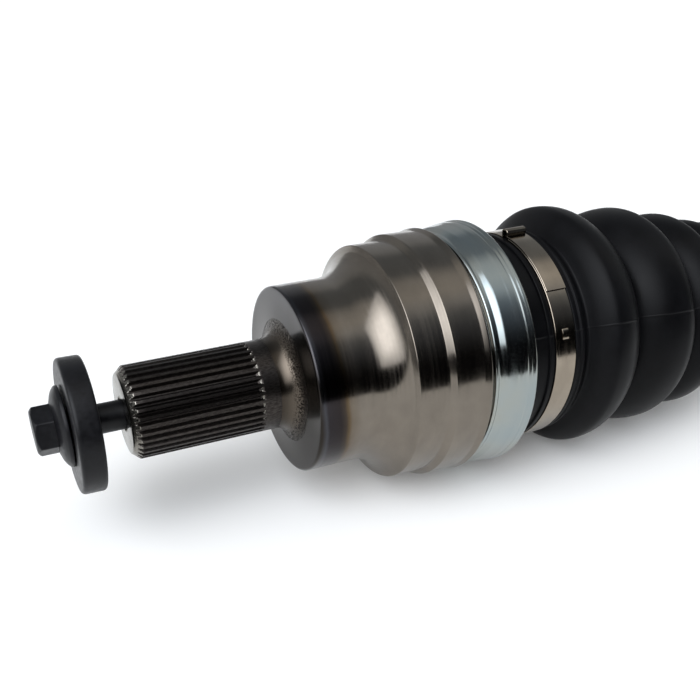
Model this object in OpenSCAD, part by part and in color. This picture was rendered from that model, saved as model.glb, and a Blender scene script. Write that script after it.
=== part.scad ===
// Half shaft of a car. From the wheel: a hub bolt with its washer, a splined hub stub forged in one
// with the bell of a fixed ball joint, a plated boot adapter, a rubber boot, a solid bar, a second
// boot, and a plunging tripod joint that ends in a bolted flange. All sizes are in millimetres.
// The X axis is the axis of rotation, with the wheel towards -X and the gearbox towards +X.
// The origin is on that axis, level with the shoulder that the wheel hub is pulled against.

/* [Hub stub] */
// Length of the stub ahead of the hub shoulder
stub_length = 67; // [58:1:80]
// Diameter over the teeth of the hub spline
hub_spline_d = 36.9; // [35:0.1:40]
// Number of teeth on the hub spline
hub_spline_teeth = 36; // [28:1:44]
// Height of a tooth of the hub spline
hub_spline_tooth = 1.5; // [1:0.1:1.8]
// Plain length between the ends of the teeth and the shoulder
hub_spline_gap = 11.5; // [9:0.5:16]
// Radius of the cove where the stub meets the shoulder
stub_cove = 8; // [5:0.5:8.5]
// Nominal diameter of the hub bolt and its thread
bolt_d = 12; // [10:1:14]
// Depth of the threaded hole in the stub
thread_depth = 45; // [40:1:50]

/* [Hub bolt and washer] */
// How far the washer stands off the end of the stub
washer_standoff = 11.4; // [6:0.1:16]
// Outer diameter of the washer
washer_d = 53.6; // [46:0.2:60]
// Thickness of the washer
washer_t = 10; // [6:0.5:12]
// How far the loose washer hangs below the axis
washer_hang = 0.4; // [0:0.1:0.6]
// Width across the flats of the bolt's head
head_flats = 17; // [14:0.5:19]
// Length of the bolt's head ahead of its flange
head_h = 10.4; // [8:0.2:13]
// Diameter of the bolt's flange
bolt_flange_d = 33; // [28:0.5:38]
// Length of the shank under the flange
shank_length = 43; // [38:1:46]

/* [Bell of the fixed joint] */
// Diameter of the neck behind the hub shoulder
neck_d = 76.8; // [72:0.2:80]
// Length of the neck before its cove starts
neck_length = 25; // [23:0.5:26]
// Radius of the cove between the neck and the front band
neck_cove = 14.5; // [14.5:0.5:17]
// Diameter of the front band
front_band_d = 98.7; // [96:0.2:101]
// Diameter of the rear band
rear_band_d = 104.1; // [102:0.2:107]
// Where the front band starts, from the shoulder
front_band_x = 38.1; // [37.6:0.1:38.1]
// Where the step to the rear band starts, from the shoulder
band_step_x = 52; // [48:0.5:55]
// Where the rear band ends, from the shoulder
rear_band_end = 66.6; // [62:0.2:67]
// Where the mouth of the bell is, from the shoulder
mouth_x = 86.4; // [85:0.2:88]
// Diameter of the rim that carries the plated adapter
rim_d = 97.2; // [96:0.2:98.4]

/* [Ball joint] */
// Where the centre of the ball joint is, from the shoulder
ball_joint_x = 66; // [62:0.5:68]
// Diameter of each ball
ball_d = 19; // [18:0.5:19]
// Diameter of the circle that the balls' centres lie on
ball_pcd = 66; // [65:0.5:67]
// Number of balls
ball_count = 6; // [6:1:6]
// Thickness of the cage
cage_t = 4.5; // [4:0.25:4.5]
// Width of the cage along the axis
cage_w = 30; // [28:0.5:31]
// Width of the inner race along the axis
race_w = 24; // [20:0.5:25]
// Largest bend of the ball joint, in degrees
ball_bend = 30; // [20:1:30]

/* [Plated boot adapter] */
// Wall of the plated sheet
sheet_t = 1.4; // [1:0.1:1.6]
// Where the adapter's front lip is, from the shoulder
adapter_x = 69.3; // [69:0.1:70]
// How far the adapter swells out beyond the rim
adapter_step = 4.4; // [3.7:0.1:5.4]
// Diameter of the sleeve that carries the boot
sleeve_d = 85.8; // [84:0.2:87]
// Length of the sleeve behind the adapter
sleeve_length = 22.65; // [21.5:0.05:23]

/* [Boots] */
// Wall of the rubber
rubber_t = 2; // [1.4:0.1:2.6]
// Radius of the outer boot's first crest
boot_crest = 53.4; // [50:0.2:56]
// How much smaller each next crest is
boot_taper = 4; // [2:0.2:5]
// Where the first crest is, from the shoulder
boot_crest_x = 128.5; // [126:0.5:131]
// Distance from the first crest to the second
boot_pitch = 37.5; // [32:0.5:40]
// Share of a pitch that the next pitch keeps
boot_closing = 0.7; // [0.65:0.01:0.72]
// Depth of the outer boot's first valley, from the middle of its two crests
boot_valley = 12.5; // [10:0.5:14]
// Distance from the last crest to the outer boot's small end
boot_run_out = 13; // [12:0.5:15]
// Number of crests on the outer boot
boot_crests = 5; // [4:1:5]
// Number of crests on the inner boot
inner_boot_crests = 4; // [3:1:5]
// Radius of the inner boot's largest crest
inner_boot_crest = 46; // [44:0.5:49]
// How much smaller each crest is towards the bar
inner_boot_taper = 5.2; // [4:0.2:6]
// Depth of the inner boot's valleys, from the middle of their two crests
inner_boot_valley = 9.5; // [8:0.5:10.5]
// Distance from the start of the inner boot to the mouth of the tripod housing
inner_boot_length = 96; // [90:1:110]
// Length of the boots' small ends
small_cuff_l = 16; // [14:0.5:18]
// Wall of the boots' small ends
cuff_wall = 3; // [2.5:0.1:3.5]

/* [Clamps] */
// Distance from the back of the adapter to the outer large clamp
clamp_offset = 13.35; // [13:0.05:14]
// Width of the large clamp bands
clamp_w = 9.6; // [8:0.2:10]
// Thickness of a clamp band
band_t = 0.9; // [0.7:0.1:1]
// Width of the small clamp bands
small_clamp_w = 8; // [6:0.5:9]
// Length round the band of the crimped ear on a large clamp
ear_w = 9; // [7:0.5:11]
// Length round the band of the crimped ear on a small clamp
small_ear_w = 8; // [6:0.5:9]
// Height of the ears over their band
ear_h = 3.4; // [2.6:0.2:4]

/* [Bar] */
// Distance between the centres of the two joints
joint_spacing = 420; // [400:5:520]
// Diameter of the bar between the joints
bar_d = 25; // [22:0.5:25]
// Diameter of the seats that the small ends of the boots sit on
seat_d = 28; // [26:0.5:29]
// Diameter over the teeth of the splines on the bar's ends
bar_spline_d = 28; // [26:0.5:28]
// Number of teeth on the bar's splines
bar_spline_teeth = 28; // [24:1:32]

/* [Tripod joint] */
// Distance from the axis to the middle of each roller
roller_reach = 27; // [26.5:0.5:27.5]
// Diameter of each roller
roller_d = 31; // [30:0.5:31]
// Width of each roller
roller_w = 13; // [12:0.5:13]
// Diameter of each trunnion
trunnion_d = 19; // [18:0.5:20]
// Diameter of each needle
needle_d = 2.4; // [2:0.1:2.6]
// Number of needles round each trunnion
needle_count = 24; // [20:1:24]
// Travel of the tripod joint each way
plunge = 15; // [8:1:16]
// Largest bend of the tripod joint, in degrees
tripod_bend = 18; // [10:1:18]

/* [Tripod housing] */
// Diameter over the lobes of the housing
tulip_d = 86; // [85:0.5:88]
// Wall of the housing beside a roller track
tulip_wall = 4.2; // [3.5:0.1:5]
// Length of the round rim that the inner boot sits on
tulip_rim = 14; // [12:0.5:16]
// Pitch circle of the flange's bolt holes
flange_pcd = 100; // [98:1:106]
// Number of bolt holes in the flange
flange_holes = 6; // [6:1:6]
// Diameter of the flange's bolt holes
flange_hole_d = 10.5; // [8.5:0.5:11]
// Radius of the flange round each bolt hole
flange_lobe = 10.2; // [9:0.2:12]
// Thickness of the flange
flange_t = 10; // [8:0.5:12]
// Diameter of the register that centres the flange
register_d = 85; // [84:0.5:86]
// Height of the register
register_h = 3.5; // [2:0.5:5]

/* [Hidden] */
$fn = 96;

// Gap between pieces that are pressed or seated together
seat_gap = 0.05;
// Gap between pieces that move against each other
run_gap = 0.3;
// Half of the small bevel on machined edges
bevel = 0.6;
// Overshoot of a cutter past the face that it cuts
over = 1;

// Places along the axis
stub_end = -stub_length;
teeth_end = -hub_spline_gap;
washer_back = stub_end - washer_standoff;
washer_front = washer_back - washer_t;
bolt_seat = washer_front - run_gap;
adapter_back = mouth_x + seat_gap + sheet_t;
adapter_d = rim_d + 2 * adapter_step;
sleeve_end = adapter_back + sleeve_length;
clamp_x = adapter_back + clamp_offset;
collar_x = adapter_back + 1.6;
collar_end = clamp_x + clamp_w + 2.6;
tripod_x = ball_joint_x + joint_spacing;

// Tripod joint
// As the joint bends, a roller moves towards the joint's axis. On the car the whole spider floats
// off centre by as much, so the tracks are wider here by the roller's shift across them.
track_play = roller_reach * pow(cos(30), 2) * (1 - cos(tripod_bend)) + 0.25;
track_r = roller_d / 2 + track_play;
roller_bore_r = trunnion_d / 2 + needle_d + 2 * seat_gap;
retainer_t = 0.6;
snap_t = 0.9;
trunnion_end = roller_reach + roller_w / 2 + retainer_t + snap_t + 0.8;
track_floor = trunnion_end + 1.2;
hub_clear_r = 22;
spider_w = 25;
track_reach = ceil(plunge + roller_reach * cos(30) * sin(tripod_bend) + roller_d / 2 + run_gap);
tulip_mouth = tripod_x - track_reach;
tulip_back = tripod_x + track_reach + 3;
cap_recess = 5;
flange_face = tulip_back + cap_recess;
tulip_core_r = 31;
tulip_rim_r = tulip_d / 2 + 1;
trunnion_angles = [30, 150, 270];
lower_trunnion = 270;

// Ball joint
ball_r = ball_d / 2;
ball_circle_r = ball_pcd / 2;
cage_mid_r = ball_circle_r + 0.45;
cage_outer_r = cage_mid_r + cage_t / 2;
cage_inner_r = cage_mid_r - cage_t / 2;
bell_r = cage_outer_r + run_gap;
race_r = cage_inner_r - run_gap;
// A ball drifts sideways in its track as the cage tilts by half the bend
ball_drift = ball_circle_r * (atan2(tan(60), cos(ball_bend / 2)) - 60) * PI / 180 * cos(15);
ball_track_r = ball_r + ball_drift + 0.25;
mouth_r = bell_r + 2.6;
// The forged well behind the balls gives the end of the bar and the grease their room
well_r = 26;
well_x = ball_joint_x - ball_circle_r - ball_track_r - 1.4;

// Bar
bar_start = ball_joint_x - race_w / 2 - 4.5;
bar_end = tripod_x + spider_w / 2 + 4.5;
spline_tooth = 1.1;
cuff_x = last_crest_x() + boot_run_out;
cuff_r = seat_d / 2 + run_gap;
cuff_outer_r = cuff_r + cuff_wall;
inner_cuff_x = tulip_mouth - inner_boot_length;

// Boots
collar_r = sleeve_d / 2 + seat_gap;
collar_outer_r = collar_r + rubber_t + 0.1;
inner_collar_r = tulip_rim_r + seat_gap;
inner_collar_outer_r = inner_collar_r + rubber_t + 0.4;

// Turns a profile of [radius, place along the axis] round the X axis
module lathe() {
    rotate([90, 0, 90]) rotate_extrude() children();
}

// Puts a shape that stands on the XY plane at x, standing along the axis
module along_axis(x) {
    translate([x, 0, 0]) rotate([90, 0, 90]) children();
}

// Turns a shape that points along +Z to the given angle round the axis, measured from +Y
module around(angle) {
    rotate([angle - 90, 0, 0]) children();
}

// A plain ring or disc between two radii and two places
module band(r1, r2, x1, x2) {
    lathe() polygon([[r1, x1], [r2, x1], [r2, x2], [r1, x2]]);
}

// A ring with a bevel on both outer edges
module bevelled_band(r1, r2, x1, x2, cut) {
    lathe() polygon([[r1, x1], [r2 - cut, x1], [r2, x1 + cut], [r2, x2 - cut], [r2 - cut, x2], [r1, x2]]);
}

// Outline of a spline: for each tooth, two points on the root circle and two on the tip circle
function spline_outline(d, teeth, tooth, play = 0) = [
    for (i = [0 : teeth - 1], k = [-0.36, -0.17, 0.17, 0.36])
        let (angle = 360 / teeth * (i + k) + sign(k) * play / d * 180 / PI)
        (abs(k) > 0.2 ? d / 2 - tooth : d / 2) * [cos(angle), sin(angle)]
];

// What a cutter takes from a round shaft between x1 and x2. With run_out, the gaps rise to the
// surface at their +X end, as where a round cutter leaves the shaft.
module spline_gaps(d, teeth, tooth, x1, x2, run_out) {
    ramp = 2.2 * tooth;
    bottom_r = d / 2 - tooth - seat_gap;
    difference() {
        along_axis(x1) linear_extrude(x2 - x1) difference() {
            circle(r = d / 2 + over);
            polygon(spline_outline(d, teeth, tooth));
        }
        if (run_out)
            along_axis(x2 - ramp - over / 100)
                cylinder(h = ramp + over / 50, r1 = bottom_r, r2 = bottom_r + tooth + 2 * over);
    }
}

// The grooves that the balls roll in, curved round the joint's centre. Each ring cuts two of them.
module ball_tracks() {
    for (i = [0 : ball_count / 2 - 1])
        translate([ball_joint_x, 0, 0]) rotate([60 * i, 0, 0]) rotate([90, 0, 0])
            rotate_extrude() translate([ball_circle_r, 0]) circle(r = ball_track_r);
}

// Round corner profile: a square of the given size less the quarter circle that leaves a cove
module cove(r, x, size, toward) {
    difference() {
        translate([r, toward > 0 ? x - size : x]) square(size);
        translate([r + size, toward > 0 ? x - size : x + size]) circle(r = size);
    }
}

// Place of crest i of the outer boot, counted from 0 at the wheel end
function crest_x(i) = boot_crest_x + boot_pitch * (1 - pow(boot_closing, i)) / (1 - boot_closing);
function last_crest_x() = crest_x(boot_crests - 1);
function crest_r(i) = boot_crest - boot_taper * i;
function crest_gap(i) = crest_x(i + 1) - crest_x(i);
// Radius of the root after crest i
function root_r(i) = (crest_r(i) + crest_r(i + 1)) / 2 - boot_valley * pow(0.86, i);

// One wave between two radii, flat at both ends, with a share from 0 at the first to 1 at the second
function swell(a, b, share) = a + (b - a) * (1 - cos(180 * share)) / 2;

// Points from [x1, r1] to [x2, r2] along half a wave. A bias over 1 keeps the curve near r1 longer.
function half_wave(x1, r1, x2, r2, steps, bias = 1) = [
    for (k = [0 : steps - 1])
        let (share = k / steps)
        [swell(r1, r2, pow(share, bias)), x1 + (x2 - x1) * share]
];

// A rubber wall of even thickness behind an outer profile of [radius, place] points
function wall_inside(outline, t) = [
    for (k = [0 : len(outline) - 1])
        let (
            a = outline[max(k - 1, 0)],
            b = outline[min(k + 1, len(outline) - 1)],
            d = b - a,
            n = [-d[1], d[0]] / norm(d)
        )
        outline[k] + t * n
];
function reversed(list) = [for (k = [len(list) - 1 : -1 : 0]) list[k]];

wave_steps = 7;
wave_bias = 1.25;
outer_boot_waves = concat(
    [[collar_outer_r - 1.4, collar_end]],
    half_wave(collar_end + 2.4, collar_outer_r - 2, boot_crest_x, boot_crest, wave_steps, 0.8),
    [for (i = [0 : boot_crests - 2], p = concat(
        half_wave(crest_x(i), crest_r(i), crest_x(i) + crest_gap(i) / 2, root_r(i), wave_steps, wave_bias),
        half_wave(crest_x(i) + crest_gap(i) / 2, root_r(i), crest_x(i + 1), crest_r(i + 1),
            wave_steps, 1 / wave_bias)
    )) p],
    half_wave(last_crest_x(), crest_r(boot_crests - 1), cuff_x, cuff_outer_r, wave_steps, wave_bias),
    [[cuff_outer_r, cuff_x], [cuff_outer_r, cuff_x + small_cuff_l]]
);

// The inner boot widens from its cuff on the bar to its collar on the housing
inner_pitch = (tulip_mouth - 4 - inner_cuff_x - small_cuff_l) / inner_boot_crests;
function inner_crest_x(i) = inner_cuff_x + small_cuff_l + inner_pitch * (i + 0.6);
function inner_crest_r(i) = inner_boot_crest - inner_boot_taper * (inner_boot_crests - 1 - i);
function inner_root_r(i) = (inner_crest_r(i) + inner_crest_r(i + 1)) / 2 - inner_boot_valley;
inner_boot_waves = concat(
    [[cuff_outer_r, inner_cuff_x]],
    half_wave(inner_cuff_x + small_cuff_l, cuff_outer_r, inner_crest_x(0), inner_crest_r(0), wave_steps,
        0.8),
    [for (i = [0 : inner_boot_crests - 2], p = concat(
        half_wave(inner_crest_x(i), inner_crest_r(i), inner_crest_x(i) + inner_pitch / 2, inner_root_r(i),
            wave_steps, wave_bias),
        half_wave(inner_crest_x(i) + inner_pitch / 2, inner_root_r(i), inner_crest_x(i + 1),
            inner_crest_r(i + 1), wave_steps, 1 / wave_bias)
    )) p],
    half_wave(inner_crest_x(inner_boot_crests - 1), inner_crest_r(inner_boot_crests - 1),
        tulip_mouth - 2.5, inner_collar_outer_r - 1.4, wave_steps),
    [[inner_collar_outer_r - 1.4, tulip_mouth - 2.5]]
);

// Bolt and washer

module hub_bolt() {
    head_r = head_flats / sqrt(3);
    rim_t = 1.7;
    cone_h = 2.9;
    color("dimgray") union() {
        intersection() {
            along_axis(bolt_seat - head_h - rim_t) rotate(15) cylinder(h = head_h, r = head_r, $fn = 6);
            lathe() polygon([
                [0, bolt_seat - head_h - rim_t], [head_r - 1.6, bolt_seat - head_h - rim_t],
                [head_r + over, bolt_seat - head_h - rim_t + 1.7], [head_r + over, bolt_seat],
                [0, bolt_seat]
            ]);
        }
        lathe() polygon([
            [0, bolt_seat - rim_t - cone_h], [head_flats / 2, bolt_seat - rim_t - cone_h],
            [bolt_flange_d / 2, bolt_seat - rim_t], [bolt_flange_d / 2, bolt_seat - 0.4],
            [bolt_flange_d / 2 - 0.4, bolt_seat], [bolt_d / 2 - seat_gap, bolt_seat],
            [bolt_d / 2 - seat_gap, bolt_seat + shank_length - 1.5],
            [bolt_d / 2 - 1.5, bolt_seat + shank_length], [0, bolt_seat + shank_length]
        ]);
    }
}

module hub_washer() {
    hole_r = bolt_d / 2 + washer_hang + run_gap;
    round_r = 1.5;
    color("dimgray") translate([0, 0, -washer_hang]) lathe() union() {
        polygon([
            [hole_r + 0.8, washer_front], [washer_d / 2 - round_r, washer_front],
            [washer_d / 2, washer_front + round_r], [washer_d / 2, washer_back - round_r],
            [washer_d / 2 - round_r, washer_back], [hole_r + 0.8, washer_back],
            [hole_r, washer_back - 0.8], [hole_r, washer_front + 0.8]
        ]);
        for (x = [washer_front + round_r, washer_back - round_r])
            translate([washer_d / 2 - round_r, x]) circle(r = round_r);
    }
}

// Ball joint

module bell_outline() {
    stub_r = hub_spline_d / 2;
    neck_r = neck_d / 2;
    corner = 2.5;
    front_r = front_band_d / 2;
    rear_r = rear_band_d / 2;
    edge_r = neck_r + neck_cove - sqrt(pow(neck_cove, 2) - pow(front_band_x - neck_length, 2));
    polygon([
        [0, stub_end], [stub_r - 2.4, stub_end], [stub_r, stub_end + 3], [stub_r, 0],
        [neck_r - corner, 0], [neck_r, corner], [neck_r, front_band_x], [0, front_band_x]
    ]);
    translate([neck_r - corner, corner]) circle(r = corner);
    cove(stub_r, 0, stub_cove, 1);
    intersection() {
        cove(neck_r, neck_length + neck_cove, neck_cove, 1);
        translate([0, neck_length]) square([rear_r, front_band_x - neck_length]);
    }
    polygon([
        [0, front_band_x - over / 10], [edge_r, front_band_x - over / 10], [edge_r, front_band_x],
        [front_r - 0.5, front_band_x + 1.9], [front_r, front_band_x + 2.4],
        [front_r, band_step_x - 0.4], [front_r + 0.25, band_step_x],
        [rear_r - 0.2, band_step_x + 3.4], [rear_r, band_step_x + 3.9],
        [rear_r, rear_band_end - 0.4], [rear_r - 1.5, rear_band_end + 1.4],
        [rim_d / 2, rear_band_end + 1.6], [rim_d / 2, mouth_x - bevel],
        [rim_d / 2 - bevel, mouth_x], [0, mouth_x]
    ]);
}

module outer_housing() {
    thread_r = bolt_d / 2;
    seal_x = seal_groove_x();
    color("slategray") difference() {
        lathe() bell_outline();
        spline_gaps(hub_spline_d, hub_spline_teeth, hub_spline_tooth, stub_end - over, teeth_end, true);
        lathe() polygon([
            [0, stub_end - over], [thread_r + 1.2, stub_end - over], [thread_r + 1.2, stub_end],
            [thread_r, stub_end + 1.2], [thread_r, stub_end + thread_depth],
            [0, stub_end + thread_depth + 3.4]
        ]);
        translate([ball_joint_x, 0, 0]) sphere(r = bell_r);
        lathe() polygon([
            [0, mouth_x - 9], [mouth_r - 7, mouth_x - 9], [mouth_r + 0.8, mouth_x + over],
            [0, mouth_x + over]
        ]);
        ball_tracks();
        band(0, well_r, well_x, ball_joint_x - 16);
        band(rim_d / 2 - 2.6, rim_d / 2 + over, seal_x - 1.6, seal_x + 1.6);
    }
}
function seal_groove_x() = mouth_x - 9;

module adapter_seal() {
    color("black") lathe() translate([rim_d / 2 - 1.32, seal_groove_x()]) circle(r = 1.25);
}

// Outer profile of the plated adapter from its front lip to the end of its sleeve
function adapter_outline() = let (
    r = adapter_d / 2,
    lip_r = rim_d / 2 + seat_gap + sheet_t,
    x = adapter_x,
    back = adapter_back,
    s = sleeve_d / 2
) [
    [lip_r, x], [lip_r + 0.25, x + 0.5], [lip_r + 0.1, x + 1.3], [lip_r + 0.3, x + 2.6],
    [lip_r + 1.3, x + 5.6], [r - 1, x + 8.6], [r - 0.35, x + 10.4], [r - 0.1, x + 11.2],
    [r - 0.35, x + 12], [r - 0.5, x + 13], [r - 0.3, back - 4.55], [r, back - 3.35],
    [r - 0.15, back - 1.95], [r - 0.9, back - 0.6], [r - 2.1, back], [s + 1.6, back],
    [s + 0.4, back + 0.4], [s, back + 1.4], [s, sleeve_end]
];

module boot_adapter() {
    outline = adapter_outline();
    lip_r = rim_d / 2 + seat_gap;
    back = adapter_back - sheet_t;
    color("lightsteelblue") lathe() polygon(concat(outline, [
        [sleeve_d / 2 - sheet_t, sleeve_end], [sleeve_d / 2 - sheet_t, back + 1.2],
        [sleeve_d / 2 - 0.6, back], [adapter_d / 2 - 2.6, back],
        [adapter_d / 2 - 1.9, back - 1], [adapter_d / 2 - 1.9, adapter_x + 9.6],
        [lip_r + 0.02, adapter_x + 5.4], [lip_r, adapter_x + 4.6], [lip_r, adapter_x]
    ]));
}

module outer_boot() {
    rib_r = collar_outer_r + 0.8;
    collar = [
        [collar_r, collar_x], [collar_outer_r, collar_x], [collar_outer_r, clamp_x - 2.4],
        [rib_r, clamp_x - 2], [rib_r, clamp_x - 0.6], [collar_outer_r, clamp_x - 0.3],
        [collar_outer_r, clamp_x + clamp_w + 0.3], [rib_r, clamp_x + clamp_w + 0.6],
        [rib_r, clamp_x + clamp_w + 1.4], [collar_outer_r - 1.4, collar_end]
    ];
    inside = reversed(wall_inside(outer_boot_waves, rubber_t));
    color("black") lathe() polygon(concat(
        collar, outer_boot_waves,
        [[cuff_r, cuff_x + small_cuff_l], [cuff_r, cuff_x + 1]],
        [for (p = inside) if (p[1] < cuff_x - 0.5 && p[1] > sleeve_end + 1.4) p],
        [[collar_r, sleeve_end + 1]]
    ));
}

// A band clamp: the band, its overlapping end, and the crimped ear that stands on top of it
module band_clamp(r, x, width, ear_angle, ear_l) {
    bevelled_band(r, r + band_t, x, x + width, 0.2);
    around(ear_angle) translate([x + 0.3, -ear_l / 2, r + band_t - 0.3]) difference() {
        cube([width - 0.6, ear_l, ear_h + 0.3]);
        translate([-over, 1, -over]) cube([width + 2 * over, ear_l - 2, ear_h]);
    }
    around(ear_angle - 29) translate([x + 0.2, -ear_l, 0]) intersection() {
        translate([0, 0, r]) cube([width - 0.4, 2 * ear_l, band_t + 2]);
        translate([0, ear_l, 0]) rotate([0, 90, 0]) cylinder(h = width, r = r + 2 * band_t - 0.1);
    }
}

module outer_large_clamp() {
    color("silver") band_clamp(collar_outer_r + seat_gap, clamp_x, clamp_w, 86, ear_w);
}

module ball_cage() {
    window_w = ball_d + 2 * seat_gap;
    window_l = 23.6;
    corner = 4;
    color("gray") difference() {
        intersection() {
            translate([ball_joint_x, 0, 0]) sphere(r = cage_outer_r);
            band(0, cage_outer_r + over, ball_joint_x - cage_w / 2, ball_joint_x + cage_w / 2);
        }
        translate([ball_joint_x, 0, 0]) sphere(r = cage_inner_r);
        for (i = [0 : ball_count - 1]) rotate([60 * i, 0, 0]) translate([ball_joint_x, 0, 0])
            linear_extrude(cage_outer_r + over) union() {
                square([window_w, window_l - 2 * corner], center = true);
                square([window_w - 2 * corner, window_l], center = true);
                for (sx = [-1, 1], sy = [-1, 1])
                    translate([sx * (window_w / 2 - corner), sy * (window_l / 2 - corner)])
                        circle(r = corner);
            }
    }
}

module joint_balls() {
    color("silver") for (i = [0 : ball_count - 1])
        rotate([60 * i, 0, 0]) translate([ball_joint_x, 0, ball_circle_r]) sphere(r = ball_r);
}

// A bore with spline teeth that fits over the bar's spline between x1 and x2
module spline_bore(x1, x2) {
    along_axis(x1 - over) linear_extrude(x2 - x1 + 2 * over)
        polygon(spline_outline(bar_spline_d + 2 * seat_gap, bar_spline_teeth, spline_tooth, 2 * seat_gap));
}

module inner_race() {
    x1 = ball_joint_x - race_w / 2;
    x2 = ball_joint_x + race_w / 2;
    color("gray") difference() {
        intersection() {
            translate([ball_joint_x, 0, 0]) sphere(r = race_r);
            band(0, race_r + over, x1, x2);
        }
        ball_tracks();
        spline_bore(x1, x2);
    }
}

// A round wire ring in its groove, open on one side
module circlip(x, r) {
    difference() {
        lathe() translate([r, x]) circle(r = 0.8);
        translate([x - 2, -1.5, 0]) cube([4, 3, r + 3]);
    }
}
function race_clip_x() = ball_joint_x - race_w / 2 - 1.1;
function spider_clip_x() = tripod_x + spider_w / 2 + 1.1;
clip_r = bar_spline_d / 2 - 0.4;

module race_circlip() {
    color("silver") circlip(race_clip_x(), clip_r);
}

module spider_circlip() {
    color("silver") circlip(spider_clip_x(), clip_r);
}

module drive_bar() {
    spline_r = bar_spline_d / 2;
    shoulder_r = spline_r + 1.2;
    r = bar_d / 2;
    seat_r = seat_d / 2;
    race_end = ball_joint_x + race_w / 2 + seat_gap;
    spider_start = tripod_x - spider_w / 2 - seat_gap;
    color("dimgray") difference() {
        lathe() polygon([
            [0, bar_start], [spline_r - 1.6, bar_start], [spline_r, bar_start + 1.6],
            [spline_r, race_end], [shoulder_r, race_end], [shoulder_r, race_end + 3.6],
            [r, race_end + 12], [r, cuff_x - 6], [seat_r, cuff_x - 2],
            [seat_r, cuff_x + small_cuff_l + 2], [r, cuff_x + small_cuff_l + 7],
            [r, inner_cuff_x - 7], [seat_r, inner_cuff_x - 2],
            [seat_r, inner_cuff_x + small_cuff_l + 2], [r, inner_cuff_x + small_cuff_l + 6],
            [r, spider_start - 12], [shoulder_r, spider_start - 3.6], [shoulder_r, spider_start],
            [spline_r, spider_start], [spline_r, bar_end - 1.6], [spline_r - 1.6, bar_end],
            [0, bar_end]
        ]);
        spline_gaps(bar_spline_d, bar_spline_teeth, spline_tooth, bar_start - over, race_end, false);
        spline_gaps(bar_spline_d, bar_spline_teeth, spline_tooth, spider_start, bar_end + over, false);
        for (x = [race_clip_x(), spider_clip_x()])
            lathe() translate([clip_r, x]) circle(r = 0.85);
        for (x = [cuff_x, inner_cuff_x], k = [0.3, 0.5, 0.7])
            band(seat_r - 0.6, seat_r + over, x + k * small_cuff_l - 0.7, x + k * small_cuff_l + 0.7);
    }
}

module outer_small_clamp() {
    x = cuff_x + (small_cuff_l - small_clamp_w) / 2;
    color("silver") band_clamp(cuff_outer_r + run_gap, x, small_clamp_w, 60, small_ear_w);
}

module inner_small_clamp() {
    x = inner_cuff_x + (small_cuff_l - small_clamp_w) / 2;
    color("silver") band_clamp(cuff_outer_r + run_gap, x, small_clamp_w, 120, small_ear_w);
}

// Tripod joint

module spider() {
    hub_r = 17;
    pad_r = 12.6;
    pad_end = roller_reach - roller_w / 2 - run_gap;
    groove_r = roller_reach + roller_w / 2 + retainer_t + 0.2;
    color("gray") difference() {
        union() {
            bevelled_band(0, hub_r, tripod_x - spider_w / 2, tripod_x + spider_w / 2, 1.5);
            for (a = trunnion_angles) translate([tripod_x, 0, 0]) around(a) {
                cylinder(h = pad_end, r = pad_r);
                cylinder(h = trunnion_end - 1.5, r = trunnion_d / 2);
                cylinder(h = trunnion_end, r = trunnion_d / 2 - 1.5);
            }
        }
        for (a = trunnion_angles) translate([tripod_x, 0, 0]) around(a) translate([0, 0, groove_r])
            difference() {
                cylinder(h = snap_t + 0.1, r = trunnion_d / 2 + over);
                translate([0, 0, -over]) cylinder(h = snap_t + 3 * over, r = trunnion_d / 2 - 0.9);
            }
        spline_bore(tripod_x - spider_w / 2, tripod_x + spider_w / 2);
    }
}

module needles(angle) {
    circle_r = trunnion_d / 2 + needle_d / 2 + seat_gap;
    length = roller_w - 1.2;
    translate([tripod_x, 0, 0]) around(angle) for (k = [0 : needle_count - 1])
        rotate(360 / needle_count * k) translate([circle_r, 0, roller_reach - length / 2])
            cylinder(h = length, r = needle_d / 2);
}

module upper_needles() {
    color("silver") for (a = trunnion_angles) if (a != lower_trunnion) needles(a);
}

module lower_needles() {
    color("silver") needles(lower_trunnion);
}

// The washer that holds the needles in, and the snap ring outside it, on each trunnion
module trunnion_retainers() {
    washer_z = roller_reach + roller_w / 2 + 0.05;
    color("silver") for (a = trunnion_angles) translate([tripod_x, 0, 0]) around(a) {
        translate([0, 0, washer_z]) difference() {
            cylinder(h = retainer_t, r = roller_bore_r + 0.7);
            translate([0, 0, -over]) cylinder(h = 3, r = trunnion_d / 2 + seat_gap);
        }
        translate([0, 0, washer_z + retainer_t + 0.2]) difference() {
            cylinder(h = snap_t, r = trunnion_d / 2 + 0.9);
            translate([0, 0, -over]) cylinder(h = 3, r = trunnion_d / 2 - 0.85);
            translate([0, -2, -over]) cube([trunnion_d, 4, 3]);
        }
    }
}

module roller(angle) {
    color("lightgray") translate([tripod_x, 0, 0]) around(angle) translate([0, 0, roller_reach])
        difference() {
            intersection() {
                sphere(r = roller_d / 2);
                cylinder(h = roller_w, r = roller_d, center = true);
            }
            cylinder(h = roller_w + over, r = roller_bore_r, center = true);
        }
}

module roller_right() {
    roller(trunnion_angles[0]);
}

module roller_left() {
    roller(trunnion_angles[1]);
}

module roller_lower() {
    roller(trunnion_angles[2]);
}

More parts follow.
